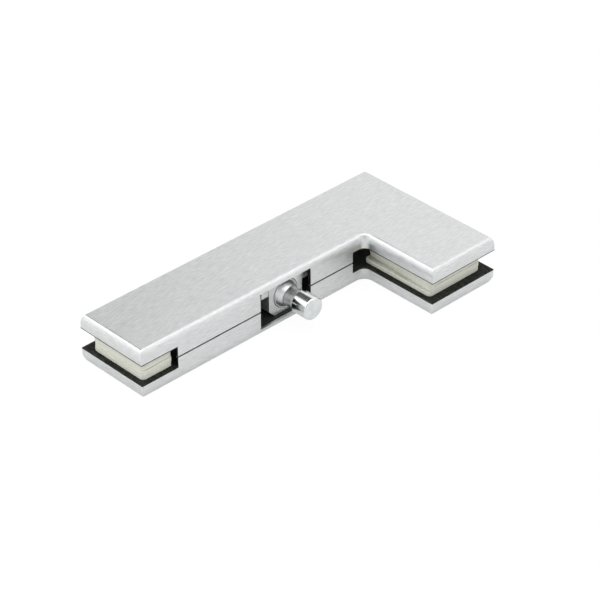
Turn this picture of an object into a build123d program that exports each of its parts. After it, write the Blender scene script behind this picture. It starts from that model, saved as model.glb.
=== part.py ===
from build123d import *
import os

# An L-shaped glass clamp with a pivot pin, in millimetres.
# The plates lie flat: +Z is square to the glass, from the rear side to the front side.
# The long arm runs along X, with its free end at -X. The short arm points to -Y.
# The pin points to -Y. The origin is on the pin's axis, in the middle of its bearing length,
# and z = 0 is the middle of the glass.

os.makedirs("parts", exist_ok=True)

# Outline of the L
long_arm_length = 220.0
short_arm_length = 105.0
arm_width = 51.0
inner_corner_radius = 4.5
outer_corner_radius = 3.0

# Thicknesses through the clamp
glass_thickness = 12.0
gasket_thickness = 1.0
plate_thickness = 8.5

# Covers
cover_skin = 2.0
crown_radius = 10.0
crown_height = 6.0
body_clearance = 0.15

# Skirt that closes the gap along the long arm
skirt_end_distance = 26.0
skirt_corner_distance = 9.5
parting_gap = 0.9
gasket_skirt_clearance = 0.1

# Pivot: distances and travel
pivot_distance = 58.0
pin_middle_distance = 12.0
pivot_travel = 10.0

# Window in the skirt
window_height = 23.6
window_far_margin = 0.75
window_near_margin = 2.15
window_corner_radius = 0.6

# Pivot carrier
carrier_width = 25.7
carrier_height = 23.0
carrier_setback = 4.8
carrier_depth = 22.2
carrier_chamfer = 4.0
wing_span = 36.0
wing_setback = 0.7
wing_depth = 15.5
wing_bottom = 3.0
sliding_clearance = 0.1

# Pivot pin
bearing_radius = 7.0
bearing_length = 10.0
tip_chamfer = 1.1
head_taper_length = 2.0
neck_radius = 5.9
base_radius = 9.1
base_thickness = 3.2
base_clearance = 0.07
shank_radius = 5.0
shank_clearance = 0.1
shank_overhang = 1.5
shank_end_chamfer = 0.8
flare_steps = 3

# Washer and nut behind the carrier
washer_radius = 10.0
washer_thickness = 1.6
nut_width = 17.0
nut_height = 5.0

# Clamp screws
screw_radius = 4.0
screw_clearance = 0.3
screw_head_radius = 7.9
screw_head_recess = 0.2
screw_end_margin = 0.9
screw_from_end = 24.0
screw_beside_pocket = 8.0
screw_beside_carrier = 14.0
head_seat_clearance = 0.1
screw_socket_width = 5.0
socket_depth_share = 0.62
thread_clearance = 0.05

# Screw bushes
bush_wall = 2.7
bush_clearance = 0.3

# Spacer sheets
sheet_count = 4
long_sheet_length = 21.0
short_sheet_length = 51.6
sheet_corner_radius = 2.5
sheet_inset = 3.1
sheet_far_inset = 6.5
sheet_end_inset = 5.0
sheet_shifts = [(0.0, 0.0), (0.15, -0.1), (-0.1, 0.15), (0.1, 0.1)]

# Lightening pocket in each clamp body, at the corner of the L
pocket_depth = 3.2
pocket_rim = 7.0
pocket_corner_radius = 3.0
pocket_screw_wall = 10.0

# Cover clips
clip_length = 11.0
clip_rise = 1.1
clip_thickness = 0.5
clip_height = 4.5
clip_crown_share = 0.4
clip_gap = 0.05
clip_end_gap = 0.4

# Places that follow from the sizes
front_wall = pin_middle_distance
back_wall = front_wall + arm_width
inner_edge = pivot_distance
outer_edge = inner_edge + arm_width
long_end = outer_edge - long_arm_length
short_end = back_wall - short_arm_length

glass_face = glass_thickness / 2
metal_face = glass_face + gasket_thickness
cover_top = metal_face + plate_thickness
body_top = cover_top - cover_skin
body_inset = cover_skin + body_clearance
skirt_start = long_end + skirt_end_distance
skirt_stop = inner_edge - skirt_corner_distance

window_left = -carrier_width / 2 - pivot_travel - window_far_margin
window_right = carrier_width / 2 + window_near_margin

carrier_face = front_wall + carrier_setback
carrier_back = carrier_face + carrier_depth
wing_face = carrier_face + wing_setback
wing_back = wing_face + wing_depth
wing_reach = wing_span / 2
base_seat = carrier_face + base_thickness
washer_back = carrier_back + washer_thickness
nut_back = washer_back + nut_height
shank_end = nut_back + shank_overhang
bearing_half = bearing_length / 2

stem_pocket_top = carrier_height / 2 + sliding_clearance
stem_pocket_back = shank_end + sliding_clearance
wing_pocket_left = -wing_reach - pivot_travel - window_far_margin
wing_pocket_right = wing_reach + window_near_margin

arm_middle_y = front_wall + arm_width / 2
arm_middle_x = inner_edge + arm_width / 2

long_pad_screw = (long_end + sheet_inset + screw_from_end, arm_middle_y)
pocket_screw = (wing_pocket_left - screw_beside_pocket, arm_middle_y)
near_screw = (wing_pocket_right + screw_beside_carrier, arm_middle_y)
short_pad_screw = (arm_middle_x, short_end + sheet_end_inset + screw_from_end)
bush_bore = screw_radius + screw_clearance
bush_radius = bush_bore + bush_wall
slot_half = bush_radius + bush_clearance
head_top = body_top - screw_head_recess
countersink_radius = screw_head_radius + screw_head_recess + head_seat_clearance
screw_places = [long_pad_screw, pocket_screw, near_screw, short_pad_screw]


def outline(inset):
    """The L as a flat face, set in from its outer edge."""
    corners = [
        (long_end + inset, front_wall + inset),
        (inner_edge + inset, front_wall + inset),
        (inner_edge + inset, short_end + inset),
        (outer_edge - inset, short_end + inset),
        (outer_edge - inset, back_wall - inset),
        (long_end + inset, back_wall - inset),
    ]
    outer_radius = max(outer_corner_radius - inset, 0.0)
    radii = [0, inner_corner_radius + inset, 0, 0, outer_radius, 0]
    with BuildSketch() as shape:
        with BuildLine():
            FilletPolyline(*corners, radius=radii, close=True)
        make_face()
    return shape.sketch


def rectangle(left, right, low, high, mode=Mode.ADD):
    """A rectangle between two x and two y values of the current sketch."""
    with Locations(((left + right) / 2, (low + high) / 2)):
        Rectangle(right - left, high - low, mode=mode)


def clip_places():
    """Where the cover clips press: a point on the cover's inner wall, and the way it faces."""
    back = back_wall - cover_skin
    side = outer_edge - cover_skin
    return [
        Location((long_pad_screw[0], back, 0), (0, 0, 0)),
        Location((0, back, 0), (0, 0, 0)),
        Location((arm_middle_x, back, 0), (0, 0, 0)),
        Location((side, (front_wall + short_end) / 2, 0), (0, 0, -90)),
        Location((long_end + cover_skin, arm_middle_y, 0), (0, 0, 90)),
        Location((arm_middle_x, short_end + cover_skin, 0), (0, 0, 180)),
    ]


def cover():
    """The front cover: a rimmed shell with crowned walls, a skirt along the long arm and half a window."""
    with BuildPart() as shell:
        with BuildSketch(Plane.XY.offset(metal_face)):
            add(outline(0))
        extrude(amount=plate_thickness - crown_height + crown_radius)
        fillet(shell.faces().sort_by(Axis.Z)[-1].edges(), crown_radius)
        split(bisect_by=Plane.XY.offset(cover_top), keep=Keep.BOTTOM)
        with BuildSketch(Plane.XY.offset(metal_face)):
            add(outline(cover_skin))
        extrude(amount=plate_thickness - cover_skin, mode=Mode.SUBTRACT)
        with BuildSketch(Plane.XY.offset(parting_gap / 2)):
            rectangle(skirt_start, skirt_stop, front_wall, front_wall + cover_skin)
        extrude(amount=metal_face - parting_gap / 2)
        with BuildSketch(Plane.XZ.offset(-front_wall)):
            with Locations(((window_left + window_right) / 2, 0)):
                RectangleRounded(window_right - window_left, window_height, window_corner_radius)
        extrude(amount=-cover_skin, mode=Mode.SUBTRACT)
    return shell


def clamp_plate():
    """The cast plate under a cover, with its lightening pocket, clip recesses and carrier pocket."""
    pocket_left = near_screw[0] + pocket_screw_wall
    pocket_right = outer_edge - pocket_rim
    pocket_height = arm_width - 2 * pocket_rim
    with BuildPart() as plate:
        with BuildSketch(Plane.XY.offset(metal_face)):
            add(outline(body_inset))
        extrude(amount=body_top - metal_face)
        with BuildSketch(Plane.XY.offset(body_top)):
            with Locations(((pocket_left + pocket_right) / 2, arm_middle_y)):
                RectangleRounded(pocket_right - pocket_left, pocket_height, pocket_corner_radius)
        extrude(amount=-pocket_depth, mode=Mode.SUBTRACT)
        with BuildSketch(Plane.XY.offset(metal_face)):
            with Locations(*clip_places()):
                Rectangle(clip_length + 2 * clip_end_gap, 2 * (clip_rise + clip_thickness + clip_gap))
        extrude(amount=body_top - metal_face, mode=Mode.SUBTRACT)
        with BuildSketch(Plane.XY.offset(metal_face)):
            rectangle(window_left, window_right, front_wall, stem_pocket_back)
        extrude(amount=stem_pocket_top - metal_face, mode=Mode.SUBTRACT)
    return plate


# Front cover
front_cover = cover()
front_cover.part.label = "front_cover"
export_step(front_cover.part, "parts/front_cover.step")

# Rear cover
with BuildPart() as rear_cover:
    mirror(cover().part, about=Plane.XY)
rear_cover.part.label = "rear_cover"
export_step(rear_cover.part, "parts/rear_cover.step")

# Front clamp body: pocketed for the carrier's wings and countersunk for the clamp screws
with BuildPart() as front_clamp_body:
    add(clamp_plate().part)
    with BuildSketch(Plane.XY.offset(metal_face)):
        rectangle(wing_pocket_left, wing_pocket_right, front_wall, wing_back + sliding_clearance)
    extrude(amount=stem_pocket_top - metal_face, mode=Mode.SUBTRACT)
    with Locations(*[(x, y, body_top) for x, y in screw_places]):
        CounterSinkHole(
            radius=screw_radius + screw_clearance,
            counter_sink_radius=countersink_radius,
            depth=plate_thickness,
            counter_sink_angle=90,
        )
front_clamp_body.part.label = "front_clamp_body"
export_step(front_clamp_body.part, "parts/front_clamp_body.step")

# Rear clamp body: tapped for the clamp screws
with BuildPart() as rear_clamp_body:
    mirror(clamp_plate().part, about=Plane.XY)
    with BuildSketch(Plane.XY.offset(-metal_face)):
        with Locations(*screw_places):
            Circle(screw_radius + thread_clearance)
    extrude(amount=metal_face - body_top, mode=Mode.SUBTRACT)
rear_clamp_body.part.label = "rear_clamp_body"
export_step(rear_clamp_body.part, "parts/rear_clamp_body.step")


def gasket():
    """The front gasket: flush with the cover's rim, cut away behind the skirt and round the carrier."""
    with BuildPart() as sheet:
        with BuildSketch(Plane.XY.offset(glass_face)):
            add(outline(0))
            with Locations(*screw_places):
                Circle(screw_radius + screw_clearance, mode=Mode.SUBTRACT)
            rectangle(
                skirt_start - gasket_skirt_clearance,
                skirt_stop + gasket_skirt_clearance,
                front_wall,
                front_wall + cover_skin + gasket_skirt_clearance,
                mode=Mode.SUBTRACT,
            )
            rectangle(wing_pocket_left, wing_pocket_right, front_wall, stem_pocket_back, mode=Mode.SUBTRACT)
        extrude(amount=gasket_thickness)
    return sheet


# Front gasket
front_gasket = gasket()
front_gasket.part.label = "front_gasket"
export_step(front_gasket.part, "parts/front_gasket.step")

# Rear gasket
with BuildPart() as rear_gasket:
    mirror(gasket().part, about=Plane.XY)
rear_gasket.part.label = "rear_gasket"
export_step(rear_gasket.part, "parts/rear_gasket.step")


def spacer_sheet(name, level, sheet, slot, arm_axis):
    """One loose sheet of a stack, slotted to slide in round a bush, its two outer corners rounded."""
    thickness = glass_thickness / sheet_count
    shift = sheet_shifts[level % len(sheet_shifts)]
    left, right, low, high = sheet
    with BuildPart() as spacer:
        with BuildSketch(Plane.XY.offset(-glass_face + level * thickness)):
            with Locations(((left + right) / 2 + shift[0], (low + high) / 2 + shift[1])):
                Rectangle(right - left, high - low)
            fillet(vertices().group_by(arm_axis)[0], sheet_corner_radius)
            rectangle(*slot, mode=Mode.SUBTRACT)
        extrude(amount=thickness)
    spacer.part.label = name
    export_step(spacer.part, f"parts/{name}.step")
    return spacer


# Spacer sheets of both arms, their slots open towards the corner of the L
sheet_width = arm_width - sheet_inset - sheet_far_inset
long_sheet_left = long_end + sheet_inset
long_sheet_right = long_sheet_left + long_sheet_length
long_sheet_low = front_wall + sheet_inset
long_sheet = (long_sheet_left, long_sheet_right, long_sheet_low, long_sheet_low + sheet_width)
long_slot = (
    long_pad_screw[0] - slot_half,
    long_sheet_right + sheet_inset,
    long_pad_screw[1] - slot_half,
    long_pad_screw[1] + slot_half,
)
short_sheet_left = inner_edge + sheet_inset
short_sheet_low = short_end + sheet_end_inset
short_sheet_high = short_sheet_low + short_sheet_length
short_sheet = (short_sheet_left, short_sheet_left + sheet_width, short_sheet_low, short_sheet_high)
short_slot = (
    short_pad_screw[0] - slot_half,
    short_pad_screw[0] + slot_half,
    short_pad_screw[1] - slot_half,
    short_sheet_high + sheet_inset,
)
for level in range(sheet_count):
    spacer_sheet(f"long_arm_spacer_{level + 1}", level, long_sheet, long_slot, Axis.X)
    spacer_sheet(f"short_arm_spacer_{level + 1}", level, short_sheet, short_slot, Axis.Y)

# Clamp screws: countersunk, with hexagon sockets
head_cone_height = screw_head_radius - screw_radius
cone_end = head_top - head_cone_height
screw_bottom = -body_top + screw_end_margin
with BuildPart() as clamp_screw:
    with BuildSketch(Plane.XZ):
        with BuildLine():
            Polyline(
                (0, head_top),
                (screw_head_radius, head_top),
                (screw_radius, cone_end),
                (screw_radius, screw_bottom),
                (0, screw_bottom),
                close=True,
            )
        make_face()
    revolve(axis=Axis.Z)
    with BuildSketch(Plane.XY.offset(head_top)):
        RegularPolygon(screw_socket_width / 2, 6, major_radius=False)
    extrude(amount=-socket_depth_share * head_cone_height, mode=Mode.SUBTRACT)
with BuildPart() as clamp_screws:
    with Locations(*screw_places):
        add(clamp_screw.part)
clamp_screws.part.label = "clamp_screws"
export_step(clamp_screws.part, "parts/clamp_screws.step")

# Screw bushes: sleeves as long as the glass is thick
with BuildPart() as screw_bushes:
    with BuildSketch(Plane.XY.offset(-glass_face)):
        with Locations(*screw_places):
            Circle(bush_radius)
            Circle(bush_bore, mode=Mode.SUBTRACT)
    extrude(amount=glass_thickness)
screw_bushes.part.label = "screw_bushes"
export_step(screw_bushes.part, "parts/screw_bushes.step")

# Pivot carrier: a block with two wings level with its top, bored for the pin
with BuildPart() as pivot_carrier:
    with BuildSketch(Plane.XZ.offset(-carrier_face)):
        Rectangle(carrier_width, carrier_height)
        chamfer(vertices().group_by(Axis.Y)[0], carrier_chamfer)
    extrude(amount=-carrier_depth)
    with BuildSketch(Plane.XZ.offset(-wing_face)):
        rectangle(-wing_reach, wing_reach, wing_bottom, carrier_height / 2)
    extrude(amount=-wing_depth)
    with Locations(Location((0, carrier_face, 0), (90, 0, 0))):
        CounterBoreHole(shank_radius + shank_clearance, base_radius + base_clearance, base_thickness)
pivot_carrier.part.label = "pivot_carrier"
export_step(pivot_carrier.part, "parts/pivot_carrier.step")

# Pivot pin: chamfered tip, bearing head, neck, concave flare in short cones, base disc and shank
tip = -bearing_half - tip_chamfer
neck_start = bearing_half + head_taper_length
flare_radius = base_radius - neck_radius
flare_start = carrier_face - flare_radius
flare = CenterArc((base_radius, flare_start), flare_radius, 180, -90)
flare_points = [flare @ (step / flare_steps) for step in range(1, flare_steps)]
with BuildPart() as pivot_pin:
    with BuildSketch(Plane.XY):
        with BuildLine():
            Polyline(
                (0, tip),
                (bearing_radius - tip_chamfer, tip),
                (bearing_radius, -bearing_half),
                (bearing_radius, bearing_half),
                (neck_radius, neck_start),
                (neck_radius, flare_start),
                *flare_points,
                (base_radius, carrier_face),
                (base_radius, base_seat),
                (shank_radius, base_seat),
                (shank_radius, shank_end - shank_end_chamfer),
                (shank_radius - shank_end_chamfer, shank_end),
                (0, shank_end),
                (0, tip),
            )
        make_face()
    revolve(axis=Axis.Y)
pivot_pin.part.label = "pivot_pin"
export_step(pivot_pin.part, "parts/pivot_pin.step")

# Pin washer
with BuildPart() as pin_washer:
    with BuildSketch(Plane.XZ.offset(-carrier_back)):
        Circle(washer_radius)
        Circle(shank_radius + shank_clearance, mode=Mode.SUBTRACT)
    extrude(amount=-washer_thickness)
pin_washer.part.label = "pin_washer"
export_step(pin_washer.part, "parts/pin_washer.step")

# Pin nut: a thin hexagon nut with its corners turned off
with BuildPart() as pin_nut:
    with BuildSketch(Plane.XZ.offset(-washer_back)):
        RegularPolygon(nut_width / 2, 6, major_radius=False)
        Circle(shank_radius + thread_clearance, mode=Mode.SUBTRACT)
    extrude(amount=-nut_height)
pin_nut.part.label = "pin_nut"
export_step(pin_nut.part, "parts/pin_nut.step")

def clip_strip():
    """The bent spring strip in plan: two sloping legs and a flat crown just short of the cover's wall."""
    half = clip_length / 2
    crown_half = half * clip_crown_share
    crown = -clip_gap
    foot = crown - clip_rise
    with BuildSketch() as strip:
        with BuildLine():
            Polyline(
                (-half, foot),
                (-crown_half, crown),
                (crown_half, crown),
                (half, foot),
                (half, foot - clip_thickness),
                (crown_half, crown - clip_thickness),
                (-crown_half, crown - clip_thickness),
                (-half, foot - clip_thickness),
                close=True,
            )
        make_face()
    return strip.sketch


def cover_clips():
    """The spring strips in the front clamp body's recesses, each bearing on the cover's inner wall."""
    with BuildPart() as clips:
        with BuildSketch(Plane.XY.offset(metal_face + clip_end_gap)):
            with Locations(*clip_places()):
                add(clip_strip())
        extrude(amount=clip_height)
    return clips


# Front cover clips
front_cover_clips = cover_clips()
front_cover_clips.part.label = "front_cover_clips"
export_step(front_cover_clips.part, "parts/front_cover_clips.step")

# Rear cover clips
with BuildPart() as rear_cover_clips:
    mirror(cover_clips().part, about=Plane.XY)
rear_cover_clips.part.label = "rear_cover_clips"
export_step(rear_cover_clips.part, "parts/rear_cover_clips.step")
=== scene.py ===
import math

import bmesh
import bpy
from mathutils import Matrix, Vector, geometry


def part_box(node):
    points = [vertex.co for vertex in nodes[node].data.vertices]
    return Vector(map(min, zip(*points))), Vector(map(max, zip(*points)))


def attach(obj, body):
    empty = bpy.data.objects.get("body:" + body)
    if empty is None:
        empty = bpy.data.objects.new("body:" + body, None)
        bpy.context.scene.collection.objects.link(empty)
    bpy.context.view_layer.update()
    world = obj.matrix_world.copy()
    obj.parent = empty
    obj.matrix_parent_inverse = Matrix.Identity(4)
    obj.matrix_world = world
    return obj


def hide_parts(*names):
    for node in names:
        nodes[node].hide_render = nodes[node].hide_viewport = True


# An L-shaped glass clamp with a pivot pin, lying on its rear cover. Lengths are in metres.

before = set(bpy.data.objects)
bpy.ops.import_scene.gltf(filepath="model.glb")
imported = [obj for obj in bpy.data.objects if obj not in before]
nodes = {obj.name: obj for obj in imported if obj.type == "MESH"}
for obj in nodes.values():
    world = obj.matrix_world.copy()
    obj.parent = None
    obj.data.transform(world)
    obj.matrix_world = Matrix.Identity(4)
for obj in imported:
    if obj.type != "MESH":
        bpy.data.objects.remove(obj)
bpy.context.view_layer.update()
MM = 0.001
same_place = 0.0001 * MM
near_enough = 0.001 * MM
sharp_angle = math.radians(38)
flat_angle = math.radians(0.5)

# Sizes read from the frame
cover_low, cover_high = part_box("front_cover")
gasket_low, gasket_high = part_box("front_gasket")
body_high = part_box("front_clamp_body")[1]
carrier_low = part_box("pivot_carrier")[0]
pin_low, pin_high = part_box("pivot_pin")
screw_low, screw_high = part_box("clamp_screws")
bush_low, bush_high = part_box("screw_bushes")
clip_low, clip_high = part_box("front_cover_clips")

# Outline of the L
arm_width = 51 * MM
inner_corner_radius = 4.5 * MM
outer_corner_radius = 3 * MM
upright_edge_radius = 0.3 * MM
long_end = cover_low.x
short_end = cover_low.y
outer_edge = cover_high.x
back_wall = cover_high.y
front_wall = back_wall - arm_width
inner_edge = outer_edge - arm_width

# Covers
cover_top = cover_high.z
metal_face = gasket_high.z
skirt_low = cover_low.z
cover_skin = cover_top - body_high.z
crown_radius = 10 * MM
crown_height = 6 * MM
crease_radius = 1.4 * MM
mitre_radius = 0.28 * MM
skirt_left = long_end + 26 * MM
skirt_right = inner_edge - 9.5 * MM
window_left = -23.6 * MM
window_right = 15 * MM
window_top = 11.8 * MM
window_corner_radius = 0.6 * MM
window_corner_steps = 4
deburred_edge = 0.18 * MM
# Near-black painted shade on the cut edges beside the skirt and the window: how far past them it reaches,
# and how fast it fades
painted_shade_margin = 1 * MM
painted_shade_fade = 0.5 * MM
corner_steps = 6
crown_steps = 7
crease_steps = 5

# Gaskets and spacer sheets
gasket_bevel = 0.6 * MM
spacer_corner_radius = 1.2 * MM
spacer_corner_steps = 6
spacer_edge = 0.2 * MM
sheets_in_stack = 4
upper_sheet_set_in = 3.2 * MM
free_end_share = 0.3

# Pivot pin
bearing_radius = 7 * MM
bearing_half = 5 * MM
tip_rounding = 1.1 * MM
tip_steps = 8
shoulder_rounding = 0.3 * MM
shoulder_steps = 3
head_taper = 2 * MM
neck_radius = 5.9 * MM
base_gap = 0.4 * MM
base_radius = pin_high.x - base_gap
base_thickness = 3.2 * MM
base_land = 0.35 * MM
flare_length = 3.7 * MM
flare_bend = 1.8 * MM
shank_radius = 5 * MM
shank_chamfer = 0.8 * MM
flare_steps = 5
pin_segments = 96

# Screws, bushes and clips
screw_row = 37.5 * MM
screw_places = [
    (-83.9 * MM, screw_row),
    (-36.75 * MM, screw_row),
    (34.15 * MM, screw_row),
    (83.5 * MM, -13 * MM),
]
screw_head_radius = 7.9 * MM
screw_radius = 4 * MM
socket_width = 5 * MM
socket_depth = 2.4 * MM
bush_bore = 4.3 * MM
bush_radius = 7 * MM
bush_edge = 0.25 * MM
round_segments = 64
clip_length = 11 * MM
clip_rise = 1.1 * MM
clip_thickness = 0.5 * MM
clip_gap = 0.05 * MM
clip_steps = 17


def tree_material(name, slot):
    """A node material with its output, its Principled shader and the object's own coordinates."""
    material = bpy.data.materials.new(name)
    material.use_nodes = True
    tree = material.node_tree
    tree.nodes.clear()
    output = tree.nodes.new("ShaderNodeOutputMaterial")
    shader = tree.nodes.new("ShaderNodeBsdfPrincipled")
    coordinates = tree.nodes.new("ShaderNodeTexCoord")
    tree.links.new(shader.outputs["BSDF"], output.inputs["Surface"])
    material["slot"] = slot
    return material, tree, shader, coordinates


def stretched_noise(tree, coordinates, scale, detail=4.0, roughness=0.55):
    """Noise whose cells are one over scale long on each axis, in metres."""
    mapping = tree.nodes.new("ShaderNodeMapping")
    mapping.inputs["Scale"].default_value = scale
    tree.links.new(coordinates.outputs["Object"], mapping.inputs["Vector"])
    noise = tree.nodes.new("ShaderNodeTexNoise")
    noise.inputs["Scale"].default_value = 1.0
    noise.inputs["Detail"].default_value = detail
    noise.inputs["Roughness"].default_value = roughness
    tree.links.new(mapping.outputs["Vector"], noise.inputs["Vector"])
    return noise.outputs["Fac"]


def remap(tree, value, low, high, to_low, to_high):
    """The value carried from one range to another, and held there."""
    node = tree.nodes.new("ShaderNodeMapRange")
    node.inputs["From Min"].default_value = low
    node.inputs["From Max"].default_value = high
    node.inputs["To Min"].default_value = to_low
    node.inputs["To Max"].default_value = to_high
    tree.links.new(value, node.inputs["Value"])
    return node.outputs["Result"]


def spread(tree, noise, to_low, to_high):
    """Noise, which seldom leaves its middle, carried over a whole range."""
    return remap(tree, noise, 0.3, 0.7, to_low, to_high)


def joined_values(tree, operation, first, second):
    """Two values put together by an operation. The second may be a plain number."""
    node = tree.nodes.new("ShaderNodeMath")
    node.operation = operation
    tree.links.new(first, node.inputs[0])
    if isinstance(second, float):
        node.inputs[1].default_value = second
    else:
        tree.links.new(second, node.inputs[1])
    return node.outputs["Value"]


def blend_values(tree, factor, first, second):
    """The first value where the factor is 0 and the second where it is 1."""
    node = tree.nodes.new("ShaderNodeMix")
    tree.links.new(factor, node.inputs["Factor"])
    tree.links.new(first, node.inputs["A"])
    tree.links.new(second, node.inputs["B"])
    return node.outputs["Result"]


def blend_colours(tree, factor, dark, light):
    """A colour between two by the factor."""
    node = tree.nodes.new("ShaderNodeMix")
    node.data_type = "RGBA"
    node.inputs[6].default_value = (*dark, 1.0)
    node.inputs[7].default_value = (*light, 1.0)
    tree.links.new(factor, node.inputs["Factor"])
    return node.outputs[2]


def tint(tree, shader, factor, dark, light):
    """Gives the shader a colour between two by the factor."""
    tree.links.new(blend_colours(tree, factor, dark, light), shader.inputs["Base Color"])


def bump(tree, shader, height, strength, distance):
    """Raises the surface by the height."""
    node = tree.nodes.new("ShaderNodeBump")
    node.inputs["Strength"].default_value = strength
    node.inputs["Distance"].default_value = distance
    tree.links.new(height, node.inputs["Height"])
    tree.links.new(node.outputs["Normal"], shader.inputs["Normal"])


def object_place(tree, coordinates):
    """The object's own X, Y and Z."""
    place = tree.nodes.new("ShaderNodeSeparateXYZ")
    tree.links.new(coordinates.outputs["Object"], place.inputs["Vector"])
    return place.outputs


def facing_x(tree, coordinates):
    """1 on the faces that look along X, whose grain runs across them, and 0 elsewhere."""
    split = tree.nodes.new("ShaderNodeSeparateXYZ")
    tree.links.new(coordinates.outputs["Normal"], split.inputs["Vector"])
    size = tree.nodes.new("ShaderNodeMath")
    size.operation = "ABSOLUTE"
    tree.links.new(split.outputs["X"], size.inputs[0])
    return remap(tree, size.outputs["Value"], 0.6, 0.8, 0.0, 1.0)


def cut_edge_painted_shade(tree, coordinates):
    """1 on the cut edges beside the skirt and the window, which get near-black painted shade, and 0
    elsewhere.
    """
    place = object_place(tree, coordinates)
    left, right = skirt_left - painted_shade_margin, skirt_right + painted_shade_margin
    from_left = remap(tree, place["X"], left, left + painted_shade_fade, 0.0, 1.0)
    to_right = remap(tree, place["X"], right - painted_shade_fade, right, 1.0, 0.0)
    inside = joined_values(tree, "MULTIPLY", from_left, to_right)
    return joined_values(tree, "MULTIPLY", inside, facing_x(tree, coordinates))


def brushed_aluminium():
    """Satin aluminium, brushed along the long arm, with faint smudges and near-black painted shade on the
    cut edges.
    """
    material, tree, shader, coordinates = tree_material("brushed_aluminium", "cover_metal")
    along = stretched_noise(tree, coordinates, (200.0, 2400.0, 2400.0), 4.0, 0.6)
    across = stretched_noise(tree, coordinates, (2400.0, 200.0, 2400.0), 4.0, 0.6)
    grain = blend_values(tree, facing_x(tree, coordinates), along, across)
    smudge = stretched_noise(tree, coordinates, (22.0, 34.0, 34.0), 3.0)
    shade = blend_colours(tree, spread(tree, grain, 0.0, 1.0), (0.63, 0.645, 0.65), (0.87, 0.88, 0.88))
    # Near-black painted shade on the cut edges beside the skirt and the window
    painted_shade = tree.nodes.new("ShaderNodeMix")
    painted_shade.data_type = "RGBA"
    painted_shade.inputs[7].default_value = (0.02, 0.02, 0.02, 1.0)
    tree.links.new(cut_edge_painted_shade(tree, coordinates), painted_shade.inputs["Factor"])
    tree.links.new(shade, painted_shade.inputs[6])
    tree.links.new(painted_shade.outputs[2], shader.inputs["Base Color"])
    fine, worn = spread(tree, grain, 0.34, 0.46), spread(tree, smudge, -0.03, 0.03)
    tree.links.new(joined_values(tree, "ADD", fine, worn), shader.inputs["Roughness"])
    shader.inputs["Metallic"].default_value = 1.0
    bump(tree, shader, grain, 0.25, 0.02 * MM)
    return material


def black_casting():
    """An aluminium casting, coloured near black and matt."""
    material, tree, shader, coordinates = tree_material("black_casting", "cast_body")
    lumps = stretched_noise(tree, coordinates, (700.0, 700.0, 700.0), 6.0)
    tint(tree, shader, lumps, (0.008, 0.008, 0.008), (0.03, 0.03, 0.032))
    tree.links.new(spread(tree, lumps, 0.5, 0.75), shader.inputs["Roughness"])
    bump(tree, shader, lumps, 0.4, 0.08 * MM)
    return material


def gasket_rubber():
    """Black rubber with fine streaks along both arms."""
    material, tree, shader, coordinates = tree_material("gasket_rubber", "gasket")
    along = stretched_noise(tree, coordinates, (160.0, 2400.0, 900.0), 3.0, 0.6)
    across = stretched_noise(tree, coordinates, (2400.0, 160.0, 900.0), 3.0, 0.6)
    streak = remap(tree, joined_values(tree, "MAXIMUM", along, across), 0.5, 0.72, 0.0, 1.0)
    tint(tree, shader, streak, (0.005, 0.006, 0.004), (0.05, 0.056, 0.044))
    tree.links.new(remap(tree, streak, 0.0, 1.0, 0.8, 0.55), shader.inputs["Roughness"])
    shader.inputs["Specular IOR Level"].default_value = 0.25
    bump(tree, shader, streak, 0.4, 0.04 * MM)
    return material


def pressed_board():
    """Cream fibre board, its edges streaked along the layers."""
    material, tree, shader, coordinates = tree_material("pressed_board", "spacer_board")
    layers = stretched_noise(tree, coordinates, (90.0, 90.0, 2600.0), 4.0, 0.6)
    fibres = stretched_noise(tree, coordinates, (700.0, 700.0, 1500.0), 5.0, 0.7)
    tone = blend_values(tree, fibres, layers, fibres)
    tint(tree, shader, remap(tree, tone, 0.32, 0.68, 0.0, 1.0), (0.52, 0.52, 0.42), (0.78, 0.79, 0.73))
    tree.links.new(spread(tree, fibres, 0.75, 0.95), shader.inputs["Roughness"])
    bump(tree, shader, tone, 0.5, 0.06 * MM)
    return material


def moulded_plastic():
    """Matt black plastic of the screw bushes."""
    material, tree, shader, coordinates = tree_material("moulded_plastic", "bush_plastic")
    skin = stretched_noise(tree, coordinates, (1300.0, 1300.0, 1300.0), 4.0)
    tint(tree, shader, skin, (0.02, 0.02, 0.021), (0.05, 0.05, 0.052))
    tree.links.new(spread(tree, skin, 0.4, 0.55), shader.inputs["Roughness"])
    bump(tree, shader, skin, 0.2, 0.02 * MM)
    return material


def milled_aluminium():
    """Aluminium of the carrier, milled in straight passes."""
    material, tree, shader, coordinates = tree_material("milled_aluminium", "carrier_metal")
    passes = stretched_noise(tree, coordinates, (60.0, 900.0, 1600.0), 4.0, 0.6)
    tint(tree, shader, spread(tree, passes, 0.0, 1.0), (0.70, 0.71, 0.70), (0.86, 0.87, 0.86))
    tree.links.new(spread(tree, passes, 0.42, 0.55), shader.inputs["Roughness"])
    shader.inputs["Metallic"].default_value = 1.0
    bump(tree, shader, passes, 0.3, 0.02 * MM)
    return material


def plated_steel():
    """Turned steel under bright zinc, with the lathe's fine rings, less polished behind the head."""
    material, tree, shader, coordinates = tree_material("plated_steel", "pin_steel")
    rings = stretched_noise(tree, coordinates, (40.0, 5200.0, 40.0), 3.0, 0.6)
    cloud = stretched_noise(tree, coordinates, (160.0, 160.0, 160.0), 4.0)
    tint(tree, shader, spread(tree, cloud, 0.0, 1.0), (0.70, 0.735, 0.735), (0.86, 0.885, 0.88))
    along_pin = object_place(tree, coordinates)["Y"]
    unpolished = remap(tree, along_pin, bearing_half, bearing_half + head_taper, 0.0, 0.14)
    rough = joined_values(tree, "ADD", spread(tree, rings, 0.12, 0.22), unpolished)
    tree.links.new(rough, shader.inputs["Roughness"])
    shader.inputs["Metallic"].default_value = 1.0
    bump(tree, shader, rings, 0.12, 0.01 * MM)
    return material


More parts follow.
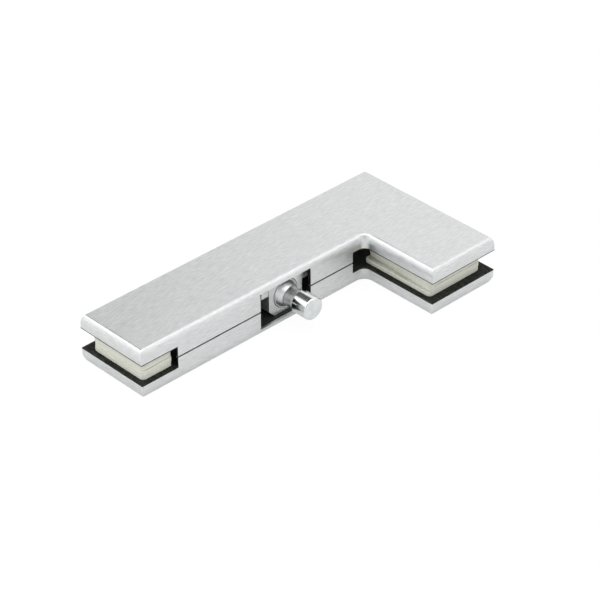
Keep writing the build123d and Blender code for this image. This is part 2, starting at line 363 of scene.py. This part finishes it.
def plain_steel(name, slot, dark, light):
    """Rolled or drawn steel with a faint streak."""
    material, tree, shader, coordinates = tree_material(name, slot)
    streak = stretched_noise(tree, coordinates, (900.0, 900.0, 90.0), 4.0)
    tint(tree, shader, streak, dark, light)
    tree.links.new(spread(tree, streak, 0.25, 0.4), shader.inputs["Roughness"])
    shader.inputs["Metallic"].default_value = 1.0
    bump(tree, shader, streak, 0.2, 0.01 * MM)
    return material


aluminium = brushed_aluminium()
casting = black_casting()
rubber = gasket_rubber()
board = pressed_board()
plastic = moulded_plastic()
milled = milled_aluminium()
plated = plated_steel()
screw_steel = plain_steel("screw_steel", "screw_steel", (0.34, 0.34, 0.35), (0.6, 0.6, 0.6))
spring_steel = plain_steel("spring_steel", "spring_steel", (0.28, 0.28, 0.3), (0.5, 0.5, 0.52))


def finish_piece(name, shape, material, body, *stands_for):
    """Turns a bmesh into a smooth-shaded piece that rides a body and stands for CAD nodes."""
    for face in shape.faces:
        face.smooth = True
    for edge in shape.edges:
        if edge.is_manifold:
            edge.smooth = edge.calc_face_angle() < sharp_angle
    mesh = bpy.data.meshes.new(name)
    shape.to_mesh(mesh)
    shape.free()
    piece = bpy.data.objects.new(name, mesh)
    bpy.context.scene.collection.objects.link(piece)
    mesh.materials.append(material)
    normals = piece.modifiers.new("even_normals", "WEIGHTED_NORMAL")
    normals.keep_sharp = True
    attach(piece, body)
    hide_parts(*stands_for)
    return piece


def sharp_edges(shape, top=math.inf):
    """The edges that turn by more than a fillet's facet, below a height."""
    return [
        edge
        for edge in shape.edges
        if edge.is_manifold
        and edge.calc_face_angle() > sharp_angle
        and max(abs(vertex.co.z) for vertex in edge.verts) < top
    ]


def soften(shape, edges, width, steps=2):
    """Rounds edges by a width."""
    bmesh.ops.bevel(
        shape,
        geom=edges,
        offset=width,
        offset_type="OFFSET",
        segments=steps,
        profile=0.5,
        affect="EDGES",
        clamp_overlap=True,
    )


def outline_ring(inset):
    """Points round the L, set in from its edge, with the skirt's and the window's ends in front."""
    corners = [
        (long_end, front_wall, (0, -1), (1, 0), upright_edge_radius),
        (inner_edge, front_wall, (1, 0), (0, -1), inner_corner_radius),
        (inner_edge, short_end, (0, -1), (1, 0), upright_edge_radius),
        (outer_edge, short_end, (1, 0), (0, 1), upright_edge_radius),
        (outer_edge, back_wall, (0, 1), (-1, 0), outer_corner_radius),
        (long_end, back_wall, (-1, 0), (0, -1), upright_edge_radius),
    ]
    points = []
    for number, (x, y, arriving, leaving, radius) in enumerate(corners):
        a, b = Vector(arriving), Vector(leaving)
        left_turn = a.x * b.y - a.y * b.x > 0
        inward = (Vector((-a.y, a.x)) + Vector((-b.y, b.x))) * inset
        rounding = max(radius - inset, mitre_radius) if left_turn else radius + inset
        corner = Vector((x, y)) + inward
        centre = corner + (b - a) * rounding
        for step in range(corner_steps + 1):
            turn = math.pi / 2 * step / corner_steps
            points.append(centre + (a * math.sin(turn) - b * math.cos(turn)) * rounding)
        if number == 0:
            for mark in (skirt_left, window_left, window_right, skirt_right):
                points.append(Vector((mark, front_wall + inset)))
    return points


def cover_shape(side):
    """A rimmed shell with crowned walls, a skirt and half of the window. Side is 1 or -1."""
    shape = bmesh.new()
    crown_start = cover_top - crown_height
    lean = math.asin(crown_height / crown_radius)
    crease_start = cover_top - crease_radius * (1 - math.sin(lean))
    low_crown, high_crown = window_top - crown_start, crease_start - window_top
    to_window = [crown_start + low_crown * step / crown_steps for step in range(crown_steps + 1)]
    to_window.insert(0, metal_face)
    above = [window_top + high_crown * step / crown_steps for step in range(1, crown_steps + 1)]
    levels = [
        (crown_radius - math.sqrt(crown_radius**2 - max(z - crown_start, 0.0) ** 2), z)
        for z in to_window + above
    ]
    crease_centre = levels[-1][0] + crease_radius * math.cos(lean)
    for step in range(1, crease_steps + 1):
        swing = lean + (math.pi / 2 - lean) * step / crease_steps
        inset = crease_centre - crease_radius * math.cos(swing)
        levels.append((inset, cover_top - crease_radius * (1 - math.sin(swing))))
    outer = [[shape.verts.new((p.x, p.y, z)) for p in outline_ring(inset)] for inset, z in levels]
    cavity = to_window + [cover_top - cover_skin]
    inner = [[shape.verts.new((p.x, p.y, z)) for p in outline_ring(cover_skin)] for z in cavity]
    count = len(outer[0])
    first = corner_steps + 1
    spans = {"left_skirt": first, "window": first + 1, "right_skirt": first + 2}
    window = spans["window"]
    head = len(to_window) - 1
    for rings in (outer, inner):
        for level, (lower, upper) in enumerate(zip(rings, rings[1:])):
            for i in range(count):
                if level < head and i == window:
                    continue
                j = (i + 1) % count
                shape.faces.new((lower[i], lower[j], upper[j], upper[i]))
    for i in range(count):
        if i not in spans.values():
            j = (i + 1) % count
            shape.faces.new((outer[0][i], outer[0][j], inner[0][j], inner[0][i]))
    shape.faces.new(outer[-1])
    shape.faces.new(inner[-1])
    outside, inside = outer[head], inner[head]
    shape.faces.new((outside[window], outside[window + 1], inside[window + 1], inside[window]))
    for i in (window, window + 1):
        for level in range(head):
            shape.faces.new((outer[level][i], inner[level][i], inner[level + 1][i], outer[level + 1][i]))
    for span in ("left_skirt", "right_skirt"):
        i = spans[span]
        feet = []
        for ring in (outer[0], inner[0]):
            feet.append([shape.verts.new((ring[k].co.x, ring[k].co.y, skirt_low)) for k in (i, i + 1)])
            shape.faces.new((ring[i], ring[i + 1], feet[-1][1], feet[-1][0]))
        shape.faces.new((feet[0][0], feet[0][1], feet[1][1], feet[1][0]))
        for end in (0, 1):
            shape.faces.new((outer[0][i + end], inner[0][i + end], feet[1][end], feet[0][end]))
    bmesh.ops.remove_doubles(shape, verts=shape.verts, dist=same_place)
    bmesh.ops.recalc_face_normals(shape, faces=shape.faces)
    bmesh.ops.dissolve_limit(shape, angle_limit=flat_angle, verts=shape.verts, edges=shape.edges)

    def at_window_corner(spot):
        beside = min(abs(spot.x - window_left), abs(spot.x - window_right))
        return abs(spot.z - window_top) < near_enough and beside < near_enough

    window_corners = [
        edge
        for edge in shape.edges
        if all(at_window_corner(vertex.co) for vertex in edge.verts)
        and abs(edge.verts[0].co.y - edge.verts[1].co.y) > cover_skin / 2
    ]
    soften(shape, window_corners, window_corner_radius, window_corner_steps)
    soften(shape, sharp_edges(shape, window_top + deburred_edge), deburred_edge)
    if side < 0:
        for vertex in shape.verts:
            vertex.co.z = -vertex.co.z
        bmesh.ops.reverse_faces(shape, faces=shape.faces)
    return shape


def merged_copy(node):
    """A CAD node's mesh with its triangles joined up, as a bmesh."""
    shape = bmesh.new()
    shape.from_mesh(nodes[node].data)
    bmesh.ops.remove_doubles(shape, verts=shape.verts, dist=near_enough)
    bmesh.ops.dissolve_limit(shape, angle_limit=flat_angle, verts=shape.verts, edges=shape.edges)
    return shape


def softened_copy(node, width, material, body="clamp"):
    """A piece that is the CAD node with its sharp edges rounded by a width."""
    shape = merged_copy(node)
    soften(shape, sharp_edges(shape), width)
    return finish_piece("soft_" + node, shape, material, body, node)


def gasket_copy(node):
    """A gasket with the outer edge of its glass side bevelled."""
    shape = merged_copy(node)
    ring = outline_ring(0.0)
    sides = [(a, b) for a, b in zip(ring, ring[1:] + ring[:1]) if (b - a).length > same_place]

    def on_outline(spot):
        for a, b in sides:
            nearest, share = geometry.intersect_point_line(spot, a, b)
            if (spot - nearest).length < 0.05 * MM and -0.01 < share < 1.01:
                return True
        return False

    rim = [
        edge
        for edge in sharp_edges(shape, gasket_low.z + 0.1 * MM)
        if all(on_outline(vertex.co.to_2d()) for vertex in edge.verts)
        and abs(edge.verts[0].co.z - edge.verts[1].co.z) < near_enough
    ]
    soften(shape, rim, gasket_bevel, 1)
    return finish_piece("soft_" + node, shape, rubber, "clamp", node)


def spacer_copy(node, inner_end, set_in=0.0):
    """A spacer sheet, its -X side set in towards the inner end, which has rounded corners."""
    shape = merged_copy(node)
    side = min(vertex.co.x for vertex in shape.verts)
    near, far = (pick(vertex.co.y for vertex in shape.verts) for pick in (min, max))
    for vertex in shape.verts:
        if vertex.co.x < side + 0.5 * MM:
            share = (vertex.co.y - near) / (far - near)
            vertex.co.x += set_in * (free_end_share + (1 - free_end_share) * share)
    reach = max(vertex.co.dot(inner_end) for vertex in shape.verts)
    middle = sum((vertex.co for vertex in shape.verts), Vector()) / len(shape.verts)
    across = Vector((0, 0, 1)).cross(inner_end)
    half = max(abs((vertex.co - middle).dot(across)) for vertex in shape.verts)

    def at_corner(spot):
        at_end = abs(spot.dot(inner_end) - reach) < 0.01 * MM
        return at_end and abs((spot - middle).dot(across)) > half * 0.85

    corners = [
        edge
        for edge in sharp_edges(shape)
        if all(at_corner(vertex.co) for vertex in edge.verts)
        and abs(edge.verts[0].co.z - edge.verts[1].co.z) > 1 * MM
    ]
    soften(shape, corners, spacer_corner_radius, spacer_corner_steps)
    soften(shape, sharp_edges(shape), spacer_edge)
    return finish_piece("soft_" + node, shape, board, "clamp", node)


def turned(profile, segments):
    """A solid turned about the Y axis from (radius, y) points that start and end on the axis."""
    shape = bmesh.new()
    ends = [shape.verts.new((0, profile[0][1], 0)), shape.verts.new((0, profile[-1][1], 0))]
    rings = []
    for radius, y in profile[1:-1]:
        angles = [2 * math.pi * i / segments for i in range(segments)]
        rings.append([shape.verts.new((radius * math.cos(a), y, radius * math.sin(a))) for a in angles])
    for i in range(segments):
        j = (i + 1) % segments
        shape.faces.new((ends[0], rings[0][i], rings[0][j]))
        shape.faces.new((ends[1], rings[-1][j], rings[-1][i]))
        for lower, upper in zip(rings, rings[1:]):
            shape.faces.new((lower[i], upper[i], upper[j], lower[j]))
    bmesh.ops.recalc_face_normals(shape, faces=shape.faces)
    return shape


def arc(centre, radius, start, stop, steps):
    """Points on an arc between two angles in degrees, both ends in."""
    points = []
    for step in range(steps + 1):
        turn = math.radians(start + (stop - start) * step / steps)
        points.append((centre[0] + radius * math.cos(turn), centre[1] + radius * math.sin(turn)))
    return points


# Covers
finish_piece("front_cover_shell", cover_shape(1), aluminium, "clamp", "front_cover")
finish_piece("rear_cover_shell", cover_shape(-1), aluminium, "clamp", "rear_cover")

# Pin, turned from its rounded tip to the end of its shank
carrier_face = carrier_low.y
base_back = carrier_face + base_thickness
flare_depth = base_radius - base_land - neck_radius
flare_turn = math.degrees(math.atan2(flare_length, flare_depth))
flare_end = carrier_face - flare_length
tip_centre = (bearing_radius - tip_rounding, -bearing_half)
shoulder_centre = (bearing_radius - shoulder_rounding, bearing_half - shoulder_rounding)
bend_centre = (neck_radius + flare_bend, flare_end - flare_bend / 2)
pin_profile = [
    (0.0, pin_low.y),
    *arc(tip_centre, tip_rounding, -90, 0, tip_steps),
    *arc(shoulder_centre, shoulder_rounding, 0, 30, shoulder_steps),
    (neck_radius, bearing_half + head_taper),
    *arc(bend_centre, flare_bend, 180, 90 + flare_turn, flare_steps),
    (base_radius - base_land, carrier_face),
    (base_radius, carrier_face),
    (base_radius, base_back),
    (shank_radius, base_back),
    (shank_radius, pin_high.y - shank_chamfer),
    (shank_radius - shank_chamfer, pin_high.y),
    (0.0, pin_high.y),
]
finish_piece("turned_pin", turned(pin_profile, pin_segments), plated, "carriage", "pivot_pin")

# Pieces that keep the solid's shape and get softened edges
softened_copy("pivot_carrier", 0.25 * MM, milled, "carriage")
softened_copy("pin_nut", 0.3 * MM, plated, "carriage")
softened_copy("pin_washer", 0.15 * MM, plated, "carriage")
softened_copy("front_clamp_body", 0.3 * MM, casting)
softened_copy("rear_clamp_body", 0.3 * MM, casting)
for cover_name in ("front", "rear"):
    gasket_copy(cover_name + "_gasket")
for level in range(1, sheets_in_stack + 1):
    spacer_copy(f"long_arm_spacer_{level}", Vector((1, 0, 0)))
    spacer_copy(f"short_arm_spacer_{level}", Vector((0, 1, 0)), upper_sheet_set_in if level > 1 else 0.0)


class Tree:
    """A geometry node tree with named sizes and one material."""

    def __init__(self, name, sizes):
        self.group = bpy.data.node_groups.new(name, "GeometryNodeTree")
        self.sizes = sizes
        interface = self.group.interface
        interface.new_socket("Geometry", in_out="INPUT", socket_type="NodeSocketGeometry")
        interface.new_socket("Geometry", in_out="OUTPUT", socket_type="NodeSocketGeometry")
        for size in sizes:
            interface.new_socket(size, in_out="INPUT", socket_type="NodeSocketFloat")
        self.source = self.add("NodeGroupInput")
        self.result = self.add("NodeGroupOutput")

    def add(self, kind, **settings):
        node = self.group.nodes.new(kind)
        for key, value in settings.items():
            setattr(node, key, value)
        return node

    def link(self, start, end):
        self.group.links.new(start, end)

    def size(self, name):
        return self.source.outputs[name]

    def math(self, operation, first, second):
        node = self.add("ShaderNodeMath", operation=operation)
        for socket, value in zip(node.inputs, (first, second)):
            if isinstance(value, (int, float)):
                socket.default_value = value
            else:
                self.link(value, socket)
        return node.outputs[0]

    def end(self, geometry, material):
        """Closes the tree with Realize Instances and Set Material."""
        real = self.add("GeometryNodeRealizeInstances")
        paint = self.add("GeometryNodeSetMaterial")
        paint.inputs["Material"].default_value = material
        self.link(geometry, real.inputs["Geometry"])
        self.link(real.outputs["Geometry"], paint.inputs["Geometry"])
        self.link(paint.outputs["Geometry"], self.result.inputs["Geometry"])


def grown(name, tree, places, turns, material, body, *stands_for):
    """Runs a tree on points, one for each copy, and keeps the result as a plain piece."""
    points = bpy.data.meshes.new(name + "_points")
    points.from_pydata(places, [], [])
    attribute = points.attributes.new("turn", "FLOAT", "POINT")
    attribute.data.foreach_set("value", turns)
    seed = bpy.data.objects.new(name + "_points", points)
    bpy.context.scene.collection.objects.link(seed)
    modifier = seed.modifiers.new("grow", "NODES")
    modifier.node_group = tree.group
    for item in tree.group.interface.items_tree:
        if item.item_type == "SOCKET" and item.name in tree.sizes:
            modifier[item.identifier] = tree.sizes[item.name]
    evaluated = seed.evaluated_get(bpy.context.evaluated_depsgraph_get())
    mesh = bpy.data.meshes.new_from_object(evaluated)
    bpy.data.objects.remove(seed)
    shape = bmesh.new()
    shape.from_mesh(mesh)
    bmesh.ops.remove_doubles(shape, verts=shape.verts, dist=same_place)
    bmesh.ops.recalc_face_normals(shape, faces=shape.faces)
    return finish_piece(name, shape, material, body, *stands_for)


def screw_tree():
    """Countersunk screws with hexagon sockets, hanging from their heads' tops."""
    tree = Tree(
        "countersunk_screws",
        {
            "Head Radius": screw_head_radius,
            "Shank Radius": screw_radius,
            "Length": screw_high.z - screw_low.z,
            "Socket Width": socket_width,
            "Socket Depth": socket_depth,
        },
    )
    cone_height = tree.math("SUBTRACT", tree.size("Head Radius"), tree.size("Shank Radius"))
    head = tree.add("GeometryNodeMeshCone")
    head.inputs["Vertices"].default_value = round_segments
    tree.link(tree.size("Head Radius"), head.inputs["Radius Top"])
    tree.link(tree.size("Shank Radius"), head.inputs["Radius Bottom"])
    tree.link(cone_height, head.inputs["Depth"])
    drop = tree.add("ShaderNodeCombineXYZ")
    tree.link(tree.math("MULTIPLY", cone_height, -1.0), drop.inputs["Z"])
    head_down = tree.add("GeometryNodeTransform")
    tree.link(head.outputs["Mesh"], head_down.inputs["Geometry"])
    tree.link(drop.outputs["Vector"], head_down.inputs["Translation"])
    shank = tree.add("GeometryNodeMeshCylinder")
    shank.inputs["Vertices"].default_value = round_segments
    shank_length = tree.math("SUBTRACT", tree.size("Length"), cone_height)
    tree.link(tree.size("Shank Radius"), shank.inputs["Radius"])
    tree.link(shank_length, shank.inputs["Depth"])
    half_length = tree.math("MULTIPLY", shank_length, 0.5)
    shank_drop = tree.add("ShaderNodeCombineXYZ")
    shank_middle = tree.math("ADD", cone_height, half_length)
    tree.link(tree.math("MULTIPLY", shank_middle, -1.0), shank_drop.inputs["Z"])
    shank_down = tree.add("GeometryNodeTransform")
    tree.link(shank.outputs["Mesh"], shank_down.inputs["Geometry"])
    tree.link(shank_drop.outputs["Vector"], shank_down.inputs["Translation"])
    socket = tree.add("GeometryNodeMeshCylinder")
    socket.inputs["Vertices"].default_value = 6
    tree.link(tree.math("DIVIDE", tree.size("Socket Width"), math.sqrt(3)), socket.inputs["Radius"])
    tree.link(tree.math("MULTIPLY", tree.size("Socket Depth"), 2.0), socket.inputs["Depth"])
    cut = tree.add("GeometryNodeMeshBoolean", operation="DIFFERENCE")
    tree.link(head_down.outputs["Geometry"], cut.inputs["Mesh 1"])
    tree.link(socket.outputs["Mesh"], cut.inputs["Mesh 2"])
    join = tree.add("GeometryNodeJoinGeometry")
    tree.link(shank_down.outputs["Geometry"], join.inputs["Geometry"])
    tree.link(cut.outputs["Mesh"], join.inputs["Geometry"])
    copies = tree.add("GeometryNodeInstanceOnPoints")
    tree.link(tree.source.outputs["Geometry"], copies.inputs["Points"])
    tree.link(join.outputs["Geometry"], copies.inputs["Instance"])
    tree.end(copies.outputs["Instances"], screw_steel)
    return tree


def bush_tree():
    """Plain sleeves, a rectangle of wall carried round the bore."""
    tree = Tree(
        "screw_bushes",
        {"Bore Radius": bush_bore, "Outer Radius": bush_radius, "Height": bush_high.z - bush_low.z},
    )
    wall = tree.math("SUBTRACT", tree.size("Outer Radius"), tree.size("Bore Radius"))
    both = tree.math("ADD", tree.size("Outer Radius"), tree.size("Bore Radius"))
    middle = tree.math("MULTIPLY", both, 0.5)
    ring = tree.add("GeometryNodeCurvePrimitiveCircle")
    ring.inputs["Resolution"].default_value = round_segments
    tree.link(middle, ring.inputs["Radius"])
    section = tree.add("GeometryNodeCurvePrimitiveQuadrilateral")
    tree.link(wall, section.inputs["Width"])
    tree.link(tree.size("Height"), section.inputs["Height"])
    rounded = tree.add("GeometryNodeFilletCurve", mode="POLY")
    rounded.inputs["Radius"].default_value = bush_edge
    rounded.inputs["Count"].default_value = 3
    tree.link(section.outputs["Curve"], rounded.inputs["Curve"])
    sleeve = tree.add("GeometryNodeCurveToMesh")
    tree.link(ring.outputs["Curve"], sleeve.inputs["Curve"])
    tree.link(rounded.outputs["Curve"], sleeve.inputs["Profile Curve"])
    copies = tree.add("GeometryNodeInstanceOnPoints")
    tree.link(tree.source.outputs["Geometry"], copies.inputs["Points"])
    tree.link(sleeve.outputs["Mesh"], copies.inputs["Instance"])
    tree.end(copies.outputs["Instances"], plastic)
    return tree


def clip_tree():
    """Bowed spring strips, each turned to face the wall that it bears on."""
    tree = Tree(
        "cover_clips",
        {
            "Length": clip_length,
            "Rise": clip_rise,
            "Thickness": clip_thickness,
            "Height": clip_high.z - clip_low.z,
        },
    )
    half = tree.math("MULTIPLY", tree.size("Length"), 0.5)
    start = tree.add("ShaderNodeCombineXYZ")
    crown = tree.add("ShaderNodeCombineXYZ")
    stop = tree.add("ShaderNodeCombineXYZ")
    foot = tree.math("MULTIPLY", tree.size("Rise"), -1.0)
    tree.link(tree.math("MULTIPLY", half, -1.0), start.inputs["X"])
    tree.link(foot, start.inputs["Y"])
    tree.link(half, stop.inputs["X"])
    tree.link(foot, stop.inputs["Y"])
    bow = tree.add("GeometryNodeCurveArc", mode="POINTS")
    bow.inputs["Resolution"].default_value = clip_steps
    tree.link(start.outputs["Vector"], bow.inputs["Start"])
    tree.link(crown.outputs["Vector"], bow.inputs["Middle"])
    tree.link(stop.outputs["Vector"], bow.inputs["End"])
    section = tree.add("GeometryNodeCurvePrimitiveQuadrilateral")
    tree.link(tree.size("Thickness"), section.inputs["Width"])
    tree.link(tree.size("Height"), section.inputs["Height"])
    strip = tree.add("GeometryNodeCurveToMesh")
    strip.inputs["Fill Caps"].default_value = True
    tree.link(bow.outputs["Curve"], strip.inputs["Curve"])
    tree.link(section.outputs["Curve"], strip.inputs["Profile Curve"])
    turn = tree.add("GeometryNodeInputNamedAttribute", data_type="FLOAT")
    turn.inputs["Name"].default_value = "turn"
    angles = tree.add("ShaderNodeCombineXYZ")
    tree.link(turn.outputs["Attribute"], angles.inputs["Z"])
    copies = tree.add("GeometryNodeInstanceOnPoints")
    tree.link(tree.source.outputs["Geometry"], copies.inputs["Points"])
    tree.link(strip.outputs["Mesh"], copies.inputs["Instance"])
    tree.link(angles.outputs["Vector"], copies.inputs["Rotation"])
    tree.end(copies.outputs["Instances"], spring_steel)
    return tree


# Screws and their bushes
screw_tops = [(x, y, screw_high.z) for x, y in screw_places]
bush_middles = [(x, y, 0.0) for x, y in screw_places]
level_turns = [0.0] * len(screw_places)
grown("clamp_screw_set", screw_tree(), screw_tops, level_turns, screw_steel, "clamp", "clamp_screws")
grown("screw_bush_set", bush_tree(), bush_middles, level_turns, plastic, "clamp", "screw_bushes")

# Cover clips: where each bears, and the way it faces
middle_x = (inner_edge + outer_edge) / 2
middle_y = (front_wall + back_wall) / 2
bearing = clip_gap + clip_thickness / 2
back_inside = back_wall - cover_skin - bearing
side_inside = outer_edge - cover_skin - bearing
left_inside = long_end + cover_skin + bearing
low_inside = short_end + cover_skin + bearing
clip_places = [
    (screw_places[0][0], back_inside, 0.0),
    (0.0, back_inside, 0.0),
    (middle_x, back_inside, 0.0),
    (side_inside, (front_wall + short_end) / 2, -math.pi / 2),
    (left_inside, middle_y, math.pi / 2),
    (middle_x, low_inside, math.pi),
]
clip_turns = [place[2] for place in clip_places]
clip_middle = (clip_low.z + clip_high.z) / 2
for cover_name, side in (("front", 1), ("rear", -1)):
    grown(
        cover_name + "_clip_set",
        clip_tree(),
        [(x, y, side * clip_middle) for x, y, _ in clip_places],
        clip_turns,
        spring_steel,
        "clamp",
        cover_name + "_cover_clips",
    )


def stage_material():
    """A floor that is white to the camera but for the object's faint shadow, and greyer in reflections."""
    material = bpy.data.materials.new("white_floor")
    material.use_nodes = True
    tree = material.node_tree
    tree.nodes.clear()
    output = tree.nodes.new("ShaderNodeOutputMaterial")
    diffuse = tree.nodes.new("ShaderNodeBsdfDiffuse")
    diffuse.inputs["Color"].default_value = (0.9, 0.9, 0.9, 1.0)
    glow = tree.nodes.new("ShaderNodeEmission")
    path = tree.nodes.new("ShaderNodeLightPath")
    brightness = remap(tree, path.outputs["Is Camera Ray"], 0.0, 1.0, floor_glow_in_metal, floor_glow)
    tree.links.new(brightness, glow.inputs["Strength"])
    glossy, transmitted = path.outputs["Is Glossy Ray"], path.outputs["Is Transmission Ray"]
    mirrored = joined_values(tree, "ADD", glossy, transmitted)
    in_metal = joined_values(tree, "MULTIPLY", mirrored, floor_share_in_metal)
    to_camera = joined_values(tree, "MULTIPLY", path.outputs["Is Camera Ray"], floor_share_to_camera)
    mixed = tree.nodes.new("ShaderNodeMixShader")
    tree.links.new(joined_values(tree, "ADD", to_camera, in_metal), mixed.inputs["Fac"])
    tree.links.new(diffuse.outputs["BSDF"], mixed.inputs[1])
    tree.links.new(glow.outputs["Emission"], mixed.inputs[2])
    tree.links.new(mixed.outputs["Shader"], output.inputs["Surface"])
    return material


def towards(tree, directions, direction, from_angle, to_angle, outside, inside):
    """A world value that goes from one level to another between two angles off a direction."""
    along = tree.nodes.new("ShaderNodeVectorMath")
    along.operation = "DOT_PRODUCT"
    along.inputs[1].default_value = Vector(direction).normalized()
    tree.links.new(directions.outputs["Generated"], along.inputs[0])
    near, far = math.cos(math.radians(to_angle)), math.cos(math.radians(from_angle))
    return remap(tree, along.outputs["Value"], far, near, outside, inside)


def area_light(name, place, target, size, power):
    """A rectangular soft light that looks at a target."""
    lamp = bpy.data.lights.new(name, "AREA")
    lamp.shape = "RECTANGLE"
    lamp.size, lamp.size_y = size
    lamp.energy = power
    light = bpy.data.objects.new(name, lamp)
    bpy.context.scene.collection.objects.link(light)
    light.location = place
    light.rotation_mode = "QUATERNION"
    light.rotation_quaternion = (Vector(target) - Vector(place)).to_track_quat("-Z", "Y")
    return light


# Brightness of the floor, the world and the panels
floor_glow = 1.02
floor_glow_in_metal = 0.62
floor_share_to_camera = 0.92
floor_share_in_metal = 0.4
horizon_strength = 0.82
zenith_strength = 0.92
left_strength = 0.45
overhead_flag = 0.08
camera_flag = 0.5
back_power = 0.25
left_power = 1.35
front_power = 1.35
overhead_power = 8.5

# Floor
floor_level = -cover_top
floor_half = 6.0
floor_mesh = bpy.data.meshes.new("floor")
floor_mesh.from_pydata(
    [
        (-floor_half, -floor_half, floor_level),
        (floor_half, -floor_half, floor_level),
        (floor_half, floor_half, floor_level),
        (-floor_half, floor_half, floor_level),
    ],
    [],
    [(0, 1, 2, 3)],
)
floor_mesh.materials.append(stage_material())
floor = bpy.data.objects.new("floor", floor_mesh)
bpy.context.scene.collection.objects.link(floor)

# World: pale at the horizon, brighter on the left, with dark flags above the back and by the camera
world = bpy.data.worlds.new("studio")
bpy.context.scene.world = world
world.use_nodes = True
world_tree = world.node_tree
background = world_tree.nodes["Background"]
background.inputs["Color"].default_value = (1.0, 1.0, 1.0, 1.0)
directions = world_tree.nodes.new("ShaderNodeTexCoord")
heights = world_tree.nodes.new("ShaderNodeSeparateXYZ")
world_tree.links.new(directions.outputs["Generated"], heights.inputs["Vector"])
sky = remap(world_tree, heights.outputs["Z"], 0.0, 0.75, horizon_strength, zenith_strength)
left_glow = towards(world_tree, directions, (-0.65, 0.62, 0.4), 60, 15, 0.0, left_strength)
sky = joined_values(world_tree, "ADD", sky, left_glow)
for flag, wide, narrow, level in (
    ((0.1, 0.7, 0.74), 27, 20, overhead_flag),
    ((-0.57, -0.6, 0.45), 22, 12, camera_flag),
):
    shade = towards(world_tree, directions, flag, wide, narrow, 1.0, level)
    sky = joined_values(world_tree, "MULTIPLY", sky, shade)
world_tree.links.new(sky, background.inputs["Strength"])

# Soft panels
area_light("back_panel", (0.83, 0.48, 0.45), (0.05, 0.0, 0.0), (0.75, 0.6), back_power)
area_light("left_panel", (-1.0, 0.95, 0.75), (0.0, 0.0, 0.0), (0.6, 0.6), left_power)
area_light("front_panel", (0.8, -1.0, 0.62), (0.0, 0.0, 0.0), (0.9, 0.4), front_power)
area_light("overhead_panel", (-0.1, 0.0, 1.4), (-0.1, 0.0, 0.0), (1.5, 1.5), overhead_power)

# Camera, at the photograph's place
camera_place = Vector((-0.8124, -0.8502, 0.8016))
camera_forward = Vector((0.56978, 0.59989, -0.56168)).normalized()
camera_up = Vector((0.39148, 0.40281, 0.82734))
camera_right = camera_forward.cross(camera_up).normalized()
camera_up = camera_right.cross(camera_forward)
camera_data = bpy.data.cameras.new("camera")
camera_data.lens = 152.7
camera_data.sensor_width = 36.0
camera = bpy.data.objects.new("camera", camera_data)
bpy.context.scene.collection.objects.link(camera)
turn = Matrix((camera_right, camera_up, -camera_forward)).transposed()
camera.matrix_world = Matrix.Translation(camera_place) @ turn.to_4x4()
bpy.context.scene.camera = camera

bpy.context.scene.view_settings.view_transform = "Standard"
